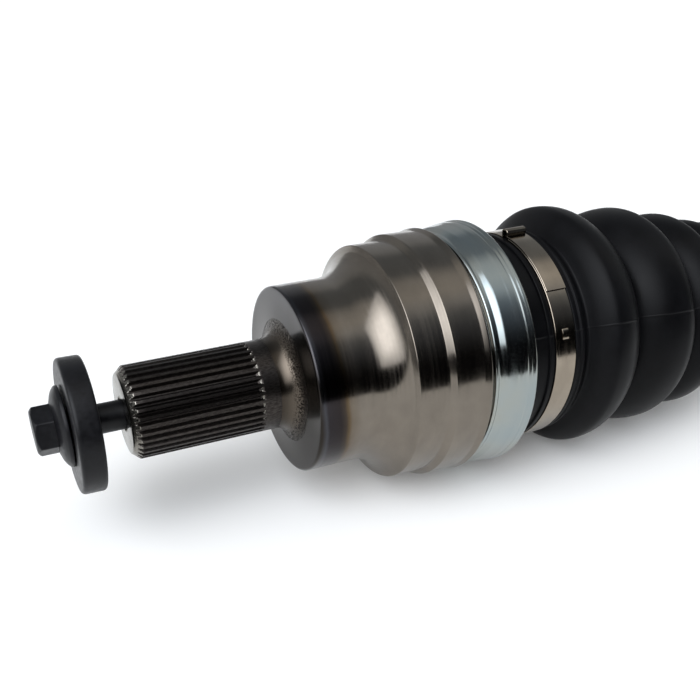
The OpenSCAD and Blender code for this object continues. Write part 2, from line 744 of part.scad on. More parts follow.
// The hollow of the tripod housing: three roller tracks, the hub's room and a flare for the bar
module tulip_hollow() {
    length = tulip_back - tulip_mouth + 2 * over;
    flare_x = tripod_x - 8;
    for (a = trunnion_angles) around(a) intersection() {
        translate([tulip_mouth - over, 0, roller_reach]) rotate([0, 90, 0])
            cylinder(h = length, r = track_r);
        translate([tulip_mouth - over, -track_r - over, 0])
            cube([length, 2 * track_r + 2 * over, track_floor]);
    }
    band(0, hub_clear_r, tulip_mouth - over, tulip_back + over);
    lathe() polygon([
        [0, tulip_mouth - 0.1], [flare_r(tulip_mouth - 0.1), tulip_mouth - 0.1],
        [flare_r(flare_x), flare_x], [0, flare_x]
    ]);
}

// Radius that the bent bar needs at x, with the joint pushed right in
function flare_r(x) = (tripod_x - x + plunge) * tan(tripod_bend) + bar_d / 2 / cos(tripod_bend) + 0.6;

module inner_housing() {
    hole_angles = [for (i = [0 : flange_holes - 1]) 360 / flange_holes * i];
    flange_back = flange_face - flange_t;
    color("slategray") difference() {
        union() {
            intersection() {
                union() {
                    band(0, tulip_core_r, tulip_mouth, flange_face);
                    for (a = trunnion_angles) around(a) translate([tulip_mouth, 0, roller_reach])
                        rotate([0, 90, 0])
                            cylinder(h = flange_face - tulip_mouth, r = track_r + tulip_wall);
                }
                band(0, tulip_d / 2, tulip_mouth, flange_face);
            }
            bevelled_band(0, tulip_rim_r, tulip_mouth, tulip_mouth + tulip_rim, bevel);
            along_axis(flange_back) linear_extrude(flange_t) union() {
                circle(r = flange_pcd / 2 + 1);
                for (a = hole_angles) rotate(a) translate([flange_pcd / 2, 0]) circle(r = flange_lobe);
            }
            bevelled_band(0, register_d / 2, flange_face - over, flange_face + register_h, 0.5);
        }
        tulip_hollow();
        band(0, cap_r(), tulip_back, flange_face + register_h + over);
        along_axis(flange_back - over) for (a = hole_angles) rotate(a)
            translate([flange_pcd / 2, 0, 0]) cylinder(h = flange_t + 2 * over, d = flange_hole_d);
        band(tulip_rim_r - 1, tulip_rim_r + over, tulip_mouth + tulip_rim - 3, tulip_mouth + tulip_rim - 1.4);
    }
}
function cap_r() = register_d / 2 - 2.4;

// The pressed cover that closes the gearbox end of the tripod housing
module end_cap() {
    r = cap_r() - seat_gap;
    wall = 1.2;
    color("lightsteelblue") lathe() polygon([
        [0, tulip_back + 1.6], [r - 9, tulip_back + 1.6], [r - 7, tulip_back + 0.1], [r - 0.6, tulip_back + 0.1],
        [r, tulip_back + 0.7], [r, flange_face + 1], [r - wall, flange_face + 1],
        [r - wall, tulip_back + 0.1 + wall], [r - 6.6, tulip_back + 0.1 + wall],
        [r - 8.6, tulip_back + 1.6 + wall], [0, tulip_back + 1.6 + wall]
    ]);
}

module inner_boot() {
    collar_back = tulip_mouth + tulip_rim - 1;
    inside = reversed(wall_inside(inner_boot_waves, rubber_t));
    color("black") lathe() polygon(concat(
        [[cuff_r, inner_cuff_x]],
        inner_boot_waves,
        [
            [inner_collar_outer_r, tulip_mouth + 1], [inner_collar_outer_r, collar_back],
            [inner_collar_r, collar_back], [inner_collar_r, tulip_mouth - 0.6]
        ],
        [for (p = inside) if (p[1] > inner_cuff_x + small_cuff_l + 1.5 && p[1] < tulip_mouth - 3) p],
        [[cuff_r, inner_cuff_x + small_cuff_l]]
    ));
}

module inner_large_clamp() {
    x = tulip_mouth + 2;
    color("silver") band_clamp(inner_collar_outer_r + seat_gap, x, clamp_w, 70, ear_w);
}

hub_bolt();
hub_washer();
outer_housing();
adapter_seal();
boot_adapter();
outer_boot();
outer_large_clamp();
ball_cage();
joint_balls();
inner_race();
race_circlip();
drive_bar();
outer_small_clamp();
inner_small_clamp();
spider();
spider_circlip();
upper_needles();
lower_needles();
trunnion_retainers();
roller_right();
roller_left();
roller_lower();
inner_housing();
end_cap();
inner_boot();
inner_large_clamp();
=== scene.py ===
# %% [markdown]
# A half shaft lies on a pale sweep: the wheel end of a car's drive shaft, with its hub bolt, a turned
# steel bell, a plated adapter and a rubber boot. This notebook loads the shaft's solids, gives every
# piece its real surface, and rebuilds in finer mesh the pieces that the camera sees close up.

# %% Load the solids
import math
import bmesh
import bpy
from mathutils import Matrix, Vector


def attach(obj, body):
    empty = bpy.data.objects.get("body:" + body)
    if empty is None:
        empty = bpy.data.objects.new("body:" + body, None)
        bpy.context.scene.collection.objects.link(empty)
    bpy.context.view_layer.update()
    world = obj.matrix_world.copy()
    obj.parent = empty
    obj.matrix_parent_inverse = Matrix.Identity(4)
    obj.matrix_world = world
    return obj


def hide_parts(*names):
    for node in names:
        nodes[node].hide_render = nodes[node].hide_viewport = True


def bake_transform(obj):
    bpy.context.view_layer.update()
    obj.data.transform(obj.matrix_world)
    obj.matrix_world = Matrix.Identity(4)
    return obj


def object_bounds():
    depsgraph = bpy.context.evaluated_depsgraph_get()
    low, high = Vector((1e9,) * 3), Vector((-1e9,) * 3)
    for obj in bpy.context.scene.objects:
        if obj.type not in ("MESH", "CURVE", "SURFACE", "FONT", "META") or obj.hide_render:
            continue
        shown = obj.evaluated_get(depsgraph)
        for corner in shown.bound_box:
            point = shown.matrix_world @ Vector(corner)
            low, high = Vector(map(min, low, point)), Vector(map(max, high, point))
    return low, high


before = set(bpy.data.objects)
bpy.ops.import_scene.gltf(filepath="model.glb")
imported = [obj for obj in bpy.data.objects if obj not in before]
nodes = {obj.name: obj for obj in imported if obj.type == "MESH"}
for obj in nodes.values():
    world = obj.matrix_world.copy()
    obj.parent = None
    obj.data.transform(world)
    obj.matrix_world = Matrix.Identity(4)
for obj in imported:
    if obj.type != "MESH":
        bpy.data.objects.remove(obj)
cad_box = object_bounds()

# %% [markdown]
# The camera comes first, because it decides which surfaces need care. The photograph is taken from the
# wheel end, a little to the side and above. The numbers below come from fitting ellipses to the edges of
# the stub, the bell and the clamp, so they are the real camera's place to within a few millimetres.

# %% Camera
CAMERA_PLACE = (-0.1136, -0.2892, 0.1723)
CAMERA_DOWN = 34.37
CAMERA_HEADING = 23.49
scene = bpy.context.scene
camera = bpy.data.objects.new("camera", bpy.data.cameras.new("camera"))
camera.data.lens = 44.17
camera.data.sensor_width = 36.0
camera.data.shift_x = 0.0564
camera.data.shift_y = 0.1581
camera.data.clip_start = 0.01
camera.location = CAMERA_PLACE
camera.rotation_euler = (math.radians(90 - CAMERA_DOWN), 0, math.radians(-CAMERA_HEADING))
scene.collection.objects.link(camera)
scene.camera = camera
scene.view_settings.view_transform = "Standard"
print("the camera looks down by", CAMERA_DOWN, "degrees")

# %% [markdown]
# Colours are written as sRGB hex values, the way a paint chart or a colour picker gives them. Blender
# wants linear light, so one function converts them. A second small function adds a shader node with its
# settings and links, which keeps every material below short enough to read. Inputs are given by name, or by
# number where a node has several of one name. On a Mix node 0 is the share, 2 and 3 are the two values, and
# 6 and 7 are the two colours, whose mix comes out of output 2.

# %% Colour and shader helpers
def linear(hex_colour):
    """Turns an sRGB hex value such as "8A8D8F" into Blender's linear colour."""
    channels = [int(hex_colour[i:i + 2], 16) / 255 for i in (0, 2, 4)]
    return [c / 12.92 if c <= 0.04045 else ((c + 0.055) / 1.055) ** 2.4 for c in channels] + [1.0]


def wire(tree, shader_node, inputs):
    """Fills or links a node's inputs. A node given as a value stands for its first output."""
    for key, value in inputs.items():
        if isinstance(value, bpy.types.Node):
            value = value.outputs[0]
        if isinstance(value, bpy.types.NodeSocket):
            tree.links.new(value, shader_node.inputs[key])
        else:
            shader_node.inputs[key].default_value = value


def add(tree, kind, inputs=None, stops=(), **settings):
    """Adds a shader node with its settings, its links and, on a colour ramp, its (place, colour) stops."""
    shader_node = tree.nodes.new(kind)
    for key, value in settings.items():
        setattr(shader_node, key, value)
    wire(tree, shader_node, inputs or {})
    if stops:
        elements = shader_node.color_ramp.elements
        while len(elements) < len(stops):
            elements.new(1.0)
        for element, (place_on_ramp, hex_colour) in zip(elements, stops):
            element.position = place_on_ramp
            element.color = linear(hex_colour)
    return shader_node


def new_material(name):
    """Starts a material and returns it with its tree and its main shader."""
    material = bpy.data.materials.new(name)
    material.use_nodes = True
    tree = material.node_tree
    return material, tree, tree.nodes["Principled BSDF"]


print("half bright grey, 808080, is", round(linear("808080")[0], 3), "in linear light")

# %% [markdown]
# Polished steel has hardly any look of its own: it shows the room. So the room is laid out as the shaft's
# surfaces reflect it. A dark wall stands on the camera's side and gives the bell its black band. The wall
# behind and the ceiling are grey. The floor is pale and gives the warm lower half of every cylinder.

# %% Room
# The angle runs round the shaft's axis: 0 is behind the shaft, 90 overhead and 180 on the camera's side
ROOM_STOPS = [(0, "9A9A9B"), (10, "A5A6A8"), (20, "AEB0B3"), (32, "B0B3B6"), (43, "878C91"), (70, "8A8F94"),
              (82, "D8D8D7"), (98, "EBEAE7"), (110, "D4D7DA"), (121, "8C9298"), (134, "5E636B"), (150, "2C2F33"),
              (160, "0B0B0D"), (180, "08080A")]
world = bpy.data.worlds.new("room")
scene.world = world
world.use_nodes = True
room = world.node_tree
direction = add(room, "ShaderNodeTexCoord").outputs["Generated"]
axes = add(room, "ShaderNodeSeparateXYZ", {"Vector": direction})
height_angle = add(room, "ShaderNodeMath", {0: axes.outputs["Z"], 1: axes.outputs["Y"]}, operation="ARCTAN2")
# Below the floor's level the room repeats itself upside down
whole_turn = add(room, "ShaderNodeMath", {0: height_angle}, operation="ABSOLUTE")
turn_share = add(room, "ShaderNodeMath", {0: whole_turn, 1: math.pi}, operation="DIVIDE")
walls = add(room, "ShaderNodeValToRGB", {"Fac": turn_share}, [(angle / 180, c) for angle, c in ROOM_STOPS])
print("the room has", len(ROOM_STOPS), "tones from behind the shaft to the camera's side")

# %% [markdown]
# One large soft box lights the shaft from the wheel end, above and to the left of the camera. It is part
# of the room, so it is as far away as the walls and lights the floor evenly. Its fabric is brightest in the
# middle. A box is a window in a direction: the direction is turned into the box's own frame and divided by
# its forward part, which gives a flat picture of the box that a limit on each side can frame.

# %% Soft box
BOX_AZIMUTH, BOX_HEIGHT, BOX_ROLL = 212.0, 45.0, 22.0
BOX_HALF_WIDTH, BOX_HALF_HEIGHT = 0.80, 0.62
# How bright the fabric is at its edge, and how much brighter in the middle
BOX_EDGE, BOX_MIDDLE = 2.1, 3.4
BOX_TINT = "F4F8FF"
# The outline is soft over this much on each side of it
BOX_SOFTNESS = 0.05
BOX_CENTRE = 0.1
# Directions to the side of the box and behind it are held at this forward part, which puts them outside it
LEAST_FORWARD = 0.02


def box_frame(azimuth, elevation, roll):
    """The soft box's right, up and forward directions, as the columns of a turn."""
    azimuth, elevation = math.radians(azimuth), math.radians(elevation)
    forward = Vector((math.cos(elevation) * math.cos(azimuth), math.cos(elevation) * math.sin(azimuth),
                      math.sin(elevation)))
    right = Vector((math.sin(azimuth), -math.cos(azimuth), 0))
    up = right.cross(forward) * -1
    return Matrix((right, up, forward)).transposed() @ Matrix.Rotation(math.radians(roll), 3, "Z")


turned = add(room, "ShaderNodeMapping", {
    "Vector": direction, "Rotation": box_frame(BOX_AZIMUTH, BOX_HEIGHT, BOX_ROLL).to_euler()}, vector_type="TEXTURE")
parts = add(room, "ShaderNodeSeparateXYZ", {"Vector": turned})
forward_part = add(room, "ShaderNodeMath", {0: parts.outputs["Z"], 1: LEAST_FORWARD}, operation="MAXIMUM")
outlines, middles = [], []
for axis, half in (("X", BOX_HALF_WIDTH), ("Y", BOX_HALF_HEIGHT)):
    place_in_box = add(room, "ShaderNodeMath", {0: parts.outputs[axis], 1: forward_part}, operation="DIVIDE")
    distance = add(room, "ShaderNodeMath", {0: place_in_box}, operation="ABSOLUTE")
    outlines.append(add(room, "ShaderNodeMapRange", {
        "Value": distance, "From Min": half + BOX_SOFTNESS, "From Max": half - BOX_SOFTNESS},
        interpolation_type="SMOOTHSTEP"))
    middles.append(add(room, "ShaderNodeMapRange", {
        "Value": distance, "From Min": half, "From Max": BOX_CENTRE}, interpolation_type="SMOOTHSTEP"))
window = add(room, "ShaderNodeMath", {0: outlines[0], 1: outlines[1]}, operation="MULTIPLY")
middle = add(room, "ShaderNodeMath", {0: middles[0], 1: middles[1]}, operation="MULTIPLY")
glow = add(room, "ShaderNodeMath", {0: middle, 1: BOX_MIDDLE, 2: BOX_EDGE}, operation="MULTIPLY_ADD")
strength = add(room, "ShaderNodeMix", {0: window, 2: 1.0, 3: glow})
tone = add(room, "ShaderNodeMix", {0: window, 6: walls, 7: linear(BOX_TINT)}, data_type="RGBA")
wire(room, room.nodes["Background"], {"Color": tone.outputs[2], "Strength": strength.outputs[0]})
print("the soft box spans", round(2 * math.degrees(math.atan(BOX_HALF_WIDTH))), "degrees")

# %% [markdown]
# The floor is matt sweep paper, which ends at the table's edge in front of the shaft, and there the black
# band of every cylinder begins. It catches the shaft's soft shadow. To the camera, and in reflections, it
# glows a little besides, so that it comes out white without more light on the shaft itself.

# %% Floor
# The floor lies just under the shaft's lowest point
FLOOR = cad_box[0][2] - 0.0002
FLOOR_REACH, FLOOR_FRONT = 6.0, -0.62
FLOOR_GLOW = 0.08
floor_mesh = bpy.data.meshes.new("floor")
floor_mesh.from_pydata([(-FLOOR_REACH, FLOOR_FRONT, FLOOR), (FLOOR_REACH, FLOOR_FRONT, FLOOR),
                        (FLOOR_REACH, FLOOR_REACH, FLOOR), (-FLOOR_REACH, FLOOR_REACH, FLOOR)], [], [(0, 1, 2, 3)])
floor = bpy.data.objects.new("floor", floor_mesh)
scene.collection.objects.link(floor)
paper, tree, shader = new_material("white sweep paper")
rays = add(tree, "ShaderNodeLightPath")
seen = add(tree, "ShaderNodeMath", {
    0: rays.outputs["Is Camera Ray"], 1: rays.outputs["Is Glossy Ray"]}, operation="ADD")
seen_through = add(tree, "ShaderNodeMath", {0: seen, 1: rays.outputs["Is Transmission Ray"]}, operation="ADD")
glowing = add(tree, "ShaderNodeMath", {0: seen_through, 1: FLOOR_GLOW}, operation="MULTIPLY")
wire(tree, shader, {"Base Color": linear("F6F5F2"), "Roughness": 0.9, "Specular IOR Level": 0.2,
                    "Emission Color": linear("FFFEFA"), "Emission Strength": glowing})
floor_mesh.materials.append(paper)
print("the floor lies at", round(FLOOR * 1000, 1), "mm")

# %% [markdown]
# Almost every piece of a drive shaft is turned on a lathe, so it is a profile swept round the axis. The
# skin function below joins rings of points into a mesh. A ring has a place along the axis and a radius,
# and the radius may change round the ring, which is how a spline, a hexagon or a thread is made with the
# same function. All measures are in millimetres, and become metres at the end.

# %% Skins from rings
MM = 0.001
TURN = 2 * math.pi
SMOOTH_BELOW = math.radians(32)


def finished(name, builder):
    """Turns a mesh in the making into a piece, smooth except at real edges."""
    bmesh.ops.recalc_face_normals(builder, faces=builder.faces)
    mesh = bpy.data.meshes.new(name)
    builder.to_mesh(mesh)
    builder.free()
    mesh.shade_smooth()
    mesh.set_sharp_from_angle(angle=SMOOTH_BELOW)
    piece = bpy.data.objects.new(name, mesh)
    scene.collection.objects.link(piece)
    return piece


def skin(name, rings, columns=240, start=0.0, extra=(), drop=None):
    """Joins rings of (x, radius) into a mesh. A radius may be a function of the angle, from +Y over +Z."""
    angles = sorted([start + TURN * i / columns for i in range(columns)] + list(extra))
    count = len(angles)
    builder = bmesh.new()
    rows = []
    for x, radius in rings:
        sink = drop(x) if drop else 0.0
        # A ring on the axis is one point
        if radius == 0:
            rows.append([builder.verts.new((x * MM, 0, -sink * MM))] * count)
            continue
        reach = [radius(angle) if callable(radius) else radius for angle in angles]
        rows.append([builder.verts.new((x * MM, r * math.cos(angle) * MM, (r * math.sin(angle) - sink) * MM))
                     for r, angle in zip(reach, angles)])
    for low, high in zip(rows, rows[1:]):
        for i in range(count):
            j = (i + 1) % count
            corners = list(dict.fromkeys((low[i], high[i], high[j], low[j])))
            if len(corners) > 2:
                builder.faces.new(corners)
    return finished(name, builder)


def eased(corners, steps=5):
    """Rounds the corners of an outline. A corner is (x, r) or (x, r, how far the rounding reaches)."""
    outline = []
    for i, corner in enumerate(corners):
        reach = corner[2] if len(corner) > 2 else 0
        if not reach:
            outline.append(corner[:2])
            continue
        x, r = corner[:2]
        ends = []
        for other in (corners[i - 1], corners[i + 1]):
            dx, dr = other[0] - x, other[1] - r
            share = min(reach / math.hypot(dx, dr), 0.5)
            ends.append((x + dx * share, r + dr * share))
        (x1, r1), (x2, r2) = ends
        for k in range(steps + 1):
            t = k / steps
            outline.append(((1 - t) ** 2 * x1 + 2 * t * (1 - t) * x + t * t * x2,
                            (1 - t) ** 2 * r1 + 2 * t * (1 - t) * r + t * t * r2))
    return outline


def arc(cx, cr, radius, first, last, steps=12):
    """Points of an arc in a profile. Angles are in degrees, with 0 towards +X and 90 away from the axis."""
    points = []
    for k in range(steps + 1):
        angle = math.radians(first + (last - first) * k / steps)
        points.append((cx + radius * math.cos(angle), cr + radius * math.sin(angle)))
    return points


def place(piece, material, slot, body, *replaced):
    """Gives a piece its material, its body and the solid that it stands for. The slot that it repaints is not used."""
    piece.data.materials.clear()
    piece.data.materials.append(material)
    if body:
        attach(piece, body)
    if replaced:
        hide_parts(*replaced)
    print(piece.name, "has", len(piece.data.polygons), "faces")


print("edges sharper than", round(math.degrees(SMOOTH_BELOW)), "degrees stay sharp")

# %% [markdown]
# Every surface below has a grain: turning grooves, phosphate crystals, wax bloom. One function gives such
# a grain with its size along the shaft and round it in millimetres, so a finish can be checked against a
# real surface. It works on the coordinates of each piece, which don't move when a joint does. A second
# function makes a plain finish from one grain: two shades, a range of roughness and a little relief.
# Blender's noise seldom leaves the span from 0.3 to 0.7, so the finishes stretch that span to theirs.

# %% Grain
NOISE_SPAN = {"From Min": 0.3, "From Max": 0.7}


def grain(tree, along_mm, across_mm, detail=3.0, roughness=0.5):
    """Noise with one grain size along the shaft and another across it."""
    where = add(tree, "ShaderNodeTexCoord").outputs["Object"]
    scale = [1 / (size * MM) for size in (along_mm, across_mm, across_mm)]
    sized = add(tree, "ShaderNodeMapping", {"Vector": where, "Scale": scale})
    return add(tree, "ShaderNodeTexNoise", {"Vector": sized, "Scale": 1.0, "Detail": detail, "Roughness": roughness})


def plain_finish(name, dark, light, low, high, grain_mm, metallic=1.0):
    """A surface with one grain, twenty times longer round the piece than along it, and coarser than real."""
    material, tree, shader = new_material(name)
    marks = grain(tree, grain_mm, grain_mm * 20, 4.0)
    colour = add(tree, "ShaderNodeValToRGB", {"Fac": marks}, [(0.3, dark), (0.7, light)])
    dull = add(tree, "ShaderNodeMapRange", {
        "Value": marks, **NOISE_SPAN, "To Min": low, "To Max": high})
    relief = add(tree, "ShaderNodeBump", {"Height": marks, "Distance": 0.004 * MM})
    wire(tree, shader, {"Base Color": colour, "Metallic": metallic, "Roughness": dull, "Normal": relief})
    return material


print("the noise is stretched from the span", list(NOISE_SPAN.values()))

# %% [markdown]
# The forging has three kinds of surface. The splined stub is rolled and then phosphated, so it is dark.
# The fillet beside it and the first part of the neck were hardened by induction, which leaves a brown and
# blue bloom. The rest was turned, and its fine circular grooves smear each reflection along the axis but
# keep it sharp round the shaft, which is why the black band has a clean lower edge.

# %% Turned steel
# Places along the shaft in millimetres, and the steel's colour there
# The steel is darker on the shoulder's face, from -1 to 0.4 mm, than at -4 mm and on the corner beyond it
HEAT_TINT = [(-16, "2A2623"), (-8, "35302B"), (-4, "3C3732"), (-1, "332F2B"), (0.4, "322E2A"), (2.2, "444448"),
             (3.4, "322F31"), (8.4, "2F2B2B"), (10.4, "3E3731"), (11.7, "5C4E3C"), (12.9, "6B6257"), (17, "766F66"),
             (90, "787168")]


def turned_steel():
    """Carbon steel turned to a fine finish. The real grooves lie 0.2 mm apart and are drawn at 0.5 mm."""
    material, tree, shader = new_material("turned forging steel with heat bloom")
    where = add(tree, "ShaderNodeSeparateXYZ", {"Vector": add(tree, "ShaderNodeTexCoord").outputs["Object"]})
    first, last = HEAT_TINT[0][0], HEAT_TINT[-1][0]
    along = add(tree, "ShaderNodeMapRange", {
        "Value": where.outputs["X"], "From Min": first * MM, "From Max": last * MM})
    # The wavy edge of the bloom: the quenching water never runs off evenly
    ragged = add(tree, "ShaderNodeMath", {0: grain(tree, 30, 12), 1: 0.014, 2: -0.007}, operation="MULTIPLY_ADD")
    wavy = add(tree, "ShaderNodeMath", {0: along, 1: ragged})
    # The coil sat a little askew, so the bloom reaches less far on top
    leaning = add(tree, "ShaderNodeMath", {0: where.outputs["Z"], 1: 0.35, 2: wavy}, operation="MULTIPLY_ADD")
    bloom = add(tree, "ShaderNodeValToRGB", {"Fac": leaning}, [((x - first) / (last - first), c) for x, c in HEAT_TINT])
    # Faint water stains and fingerprints in the oil film
    film = add(tree, "ShaderNodeMapRange", {
        "Value": grain(tree, 9, 14, 5.0, 0.6), **NOISE_SPAN, "To Min": 0.86, "To Max": 1.08})
    stained = add(tree, "ShaderNodeMix", {0: 1.0, 6: bloom, 7: film}, data_type="RGBA", blend_type="MULTIPLY")
    # Each groove has its own sheen, so the roughness changes along the shaft in fine rings
    sheen = add(tree, "ShaderNodeMapRange", {
        "Value": grain(tree, 0.7, 60, 4.0), **NOISE_SPAN, "To Min": 0.13, "To Max": 0.25})
    grooves = add(tree, "ShaderNodeBump", {"Height": grain(tree, 0.5, 400, 2.0), "Distance": 0.006 * MM})
    round_shaft = add(tree, "ShaderNodeTangent", direction_type="RADIAL", axis="X")
    wire(tree, shader, {"Base Color": stained.outputs[2], "Metallic": 1.0, "Roughness": sheen, "Anisotropic": 0.65,
                        "Anisotropic Rotation": 0.25, "Tangent": round_shaft, "Normal": grooves})
    return material


forging_steel = turned_steel()
print("made", forging_steel.name)

# %% [markdown]
# The fillet between the spline and the shoulder was heated with them and never turned afterwards. So it
# keeps a sprinkle of scale, which stops at the edge of the flat face. A bump alone would look like dimples,
# so the same mask also darkens the steel and dulls it.

# %% Heat tinted fillet
def scaled_steel():
    """The fillet beside the spline: brown from the induction heat, with a sprinkle of scale left in it."""
    material, tree, shader = new_material("heat tinted steel with scale")
    place_on_shaft = add(tree, "ShaderNodeTexCoord").outputs["Object"]
    where = add(tree, "ShaderNodeSeparateXYZ", {"Vector": place_on_shaft})
    along = add(tree, "ShaderNodeMapRange", {
        "Value": where.outputs["X"], "From Min": -16 * MM, "From Max": 0.5 * MM})
    # The tint darkens again from -2 mm towards the shoulder's face
    tint = add(tree, "ShaderNodeValToRGB", {"Fac": along}, [
        (0.0, "26221F"), (0.35, "332D28"), (0.6, "453F38"), (0.85, "5E564D"), (1.0, "332F2B")])
    # Grains of scale 0.7 mm across, dark and dull, thickest where the fillet meets the face
    scale_grain = add(tree, "ShaderNodeMapRange", {
        "Value": grain(tree, 0.7, 0.7, 4.0, 0.7), "From Min": 0.47, "From Max": 0.55})
    near_face = add(tree, "ShaderNodeMapRange", {
        "Value": where.outputs["X"], "From Min": -3.8 * MM, "From Max": -1.8 * MM})
    off_axis = add(tree, "ShaderNodeVectorMath", {0: place_on_shaft, 1: (0, 1, 1)}, operation="MULTIPLY")
    radius = add(tree, "ShaderNodeVectorMath", {0: off_axis}, operation="LENGTH").outputs["Value"]
    in_fillet = add(tree, "ShaderNodeMapRange", {
        "Value": radius, "From Min": 25.8 * MM, "From Max": 28.4 * MM, "To Min": 1.0, "To Max": 0.0})
    in_ring = add(tree, "ShaderNodeMath", {0: near_face, 1: in_fillet}, operation="MULTIPLY")
    scale_share = add(tree, "ShaderNodeMath", {0: scale_grain, 1: in_ring}, operation="MULTIPLY")
    colour = add(tree, "ShaderNodeMix", {0: scale_share, 6: tint, 7: linear("1E1A17")}, data_type="RGBA")
    dull = add(tree, "ShaderNodeMapRange", {"Value": scale_share, "To Min": 0.24, "To Max": 0.6})
    pits = add(tree, "ShaderNodeBump", {"Height": scale_share, "Strength": 0.8, "Distance": 0.05 * MM})
    wire(tree, shader, {"Base Color": colour.outputs[2], "Metallic": 1.0, "Roughness": dull, "Normal": pits})
    return material


fillet_steel = scaled_steel()
print("made", fillet_steel.name)

# %% [markdown]
# Phosphate is grown on the spline to hold oil while the hub slides on. Its crystals are dark and fine. Where a cutter
# has passed afterwards the bare steel shows.

# %% Phosphated steel
def phosphated_steel():
    """Zinc phosphate on rolled spline teeth: dark grey crystals, oiled, a little lighter where they wear."""
    material, tree, shader = new_material("phosphated spline steel")
    crystals = grain(tree, 1.6, 0.5, 5.0, 0.65)
    colour = add(tree, "ShaderNodeValToRGB", {"Fac": crystals}, [(0.35, "2C2826"), (0.70, "4C4845")])
    dull = add(tree, "ShaderNodeMapRange", {
        "Value": crystals, **NOISE_SPAN, "To Min": 0.40, "To Max": 0.28})
    bumps = add(tree, "ShaderNodeBump", {"Height": crystals, "Distance": 0.02 * MM})
    wire(tree, shader, {"Base Color": colour, "Metallic": 1.0, "Roughness": dull, "Normal": bumps})
    return material


spline_steel = phosphated_steel()
# On the stub's chamfers and run-out slopes this lighter steel is also a painted highlight
cut_steel_and_highlight = plain_finish("cut steel and painted highlight", "6C6962", "8A867E", 0.16, 0.28, 0.5)
print("made", spline_steel.name, "and", cut_steel_and_highlight.name)

# %% [markdown]
# The hub spline has 36 straight teeth. A cutter leaves each gap on a slope at its inner end, and those
# slopes catch the light as a row of bright dots. The tooth's shape is a trapezium, so the radius round the
# stub follows a simple rule, and the same rule works at every place along it.

# %% Splined stub
TEETH = 36
TIP, ROOT = 18.45, 16.95
STUB_END, GAP_END = -67.0, -14.4


def tooth_radius(angle):
    """The stub's radius at an angle: a tooth is a trapezium, cut off at its tip and at its root."""
    phase = abs((angle / TURN * TEETH + 0.5) % 1 - 0.5)
    share = min(max((0.36 - phase) / 0.19, 0), 1)
    return ROOT + (TIP - ROOT) * share


def stub_ring(x, ceiling=TIP, floor_radius=0.0):
    """A toothed ring, held under a chamfer or over a run-out slope."""
    return x, lambda angle: min(max(tooth_radius(angle), floor_radius), ceiling)


# The bore's mouth and the end face, the chamfer on the teeth, the straight teeth, and the run-out
stub_rings = [(STUB_END + 3, 5.2), (STUB_END + 1.4, 6.0), (STUB_END, 7.3), (STUB_END, 15.2), (STUB_END + 0.1, 15.75)]
stub_rings += [stub_ring(STUB_END + 0.25 + 0.4 * k, ceiling=min(15.95 + 0.344 * k, TIP)) for k in range(9)]
stub_rings += [stub_ring(x) for x in (-60, -50, -40, -30, -20, GAP_END - 2.2)]
stub_rings += [stub_ring(GAP_END - 2 + 0.2 * k, floor_radius=ROOT - 0.1 + 1.6 * (k / 10) ** 1.4) for k in range(11)]
stub_rings += [(GAP_END + 0.3, TIP), (-8.0, TIP)]
stub = skin("splined_stub", stub_rings, columns=TEETH * 12, start=TURN / TEETH / 2)
place(stub, spline_steel, "forged_steel", "outer_joint", "outer_housing")
# The stub's end, the teeth's chamfers and the run-out slopes were cut after rolling, so they are bare steel. On the
# chamfers and slopes the lighter steel is also a painted highlight, for the bright dots where they catch the light
stub.data.materials.append(cut_steel_and_highlight)
for face in stub.data.polygons:
    x, r = face.center.x / MM, math.hypot(face.center.y, face.center.z) / MM
    end_face = x < STUB_END + 0.05
    chamfer_highlight = x < STUB_END + 3.6 and face.normal.x < -0.25
    slope_highlight = GAP_END - 1.0 < x < GAP_END + 0.1 and r < TIP - 0.35 and face.normal.x < -0.15
    face.material_index = int(end_face or chamfer_highlight or slope_highlight)

# %% [markdown]
# The bell starts where the stub ends. Its profile was measured from the photograph: a fillet, a flat
# shoulder, a neck, a deep cove, and two bands with a ramp between them. Every edge is eased by a few tenths
# of a millimetre, because a real machined edge is never sharp and the easing draws its bright line.

# %% Bell
fillet = arc(-8.0, 26.45, 8.0, -90, 0, 14)
shoulder = eased([(0, 26.45), (0, 35.9), (0, 38.4, 2.5), (2.5, 38.4)], 8)[1:]
cove = arc(21.5, 54.25, 15.85, -90, -24, 22)
bands = eased([cove[-1], (36.5, 49.35, 0.35), (49.3, 49.35, 0.3), (51.4, 51.7, 0.35), (63.8, 51.5, 0.6),
               (66.4, 52.5, 0.5), (68.0, 50.6, 0.3), (68.2, 48.6, 0.1), (86.0, 48.6, 0.3), (86.4, 48.2),
               (86.4, 40.0)], 4)[1:]
bell = skin("bell", fillet[:-1] + shoulder + cove[:-1] + bands, columns=320)
place(bell, forging_steel, "forged_steel", "outer_joint", "outer_housing")
bell.data.materials.append(fillet_steel)
for face in bell.data.polygons:
    in_fillet = face.center.x < 0.1 * MM and math.hypot(face.center.y, face.center.z) < 30 * MM
    face.material_index = int(in_fillet)

# %% [markdown]
# The hub bolt and its washer are black oxidised steel with a film of oil. The oxide is so thin that it
# keeps the shape of every tool mark, and it is not a metal to the eye: its shine is weak and has no tint.

# %% Black oxide steel
def black_oxide():
    """Magnetite formed in a hot bath, then oiled: a thin black skin with a soft shine."""
    material, tree, shader = new_material("black oxide steel")
    mottle = grain(tree, 2.0, 2.0, 6.0, 0.6)
    colour = add(tree, "ShaderNodeValToRGB", {"Fac": mottle}, [(0.3, "09090B"), (0.75, "131316")])
    oiled = add(tree, "ShaderNodeMapRange", {
        "Value": mottle, **NOISE_SPAN, "To Min": 0.30, "To Max": 0.46})
    fine = add(tree, "ShaderNodeBump", {"Height": grain(tree, 0.5, 0.5), "Distance": 0.01 * MM})
    wire(tree, shader, {"Base Color": colour, "Roughness": oiled, "Specular IOR Level": 0.22, "Normal": fine})
    return material


oxide = black_oxide()
print("made", oxide.name)

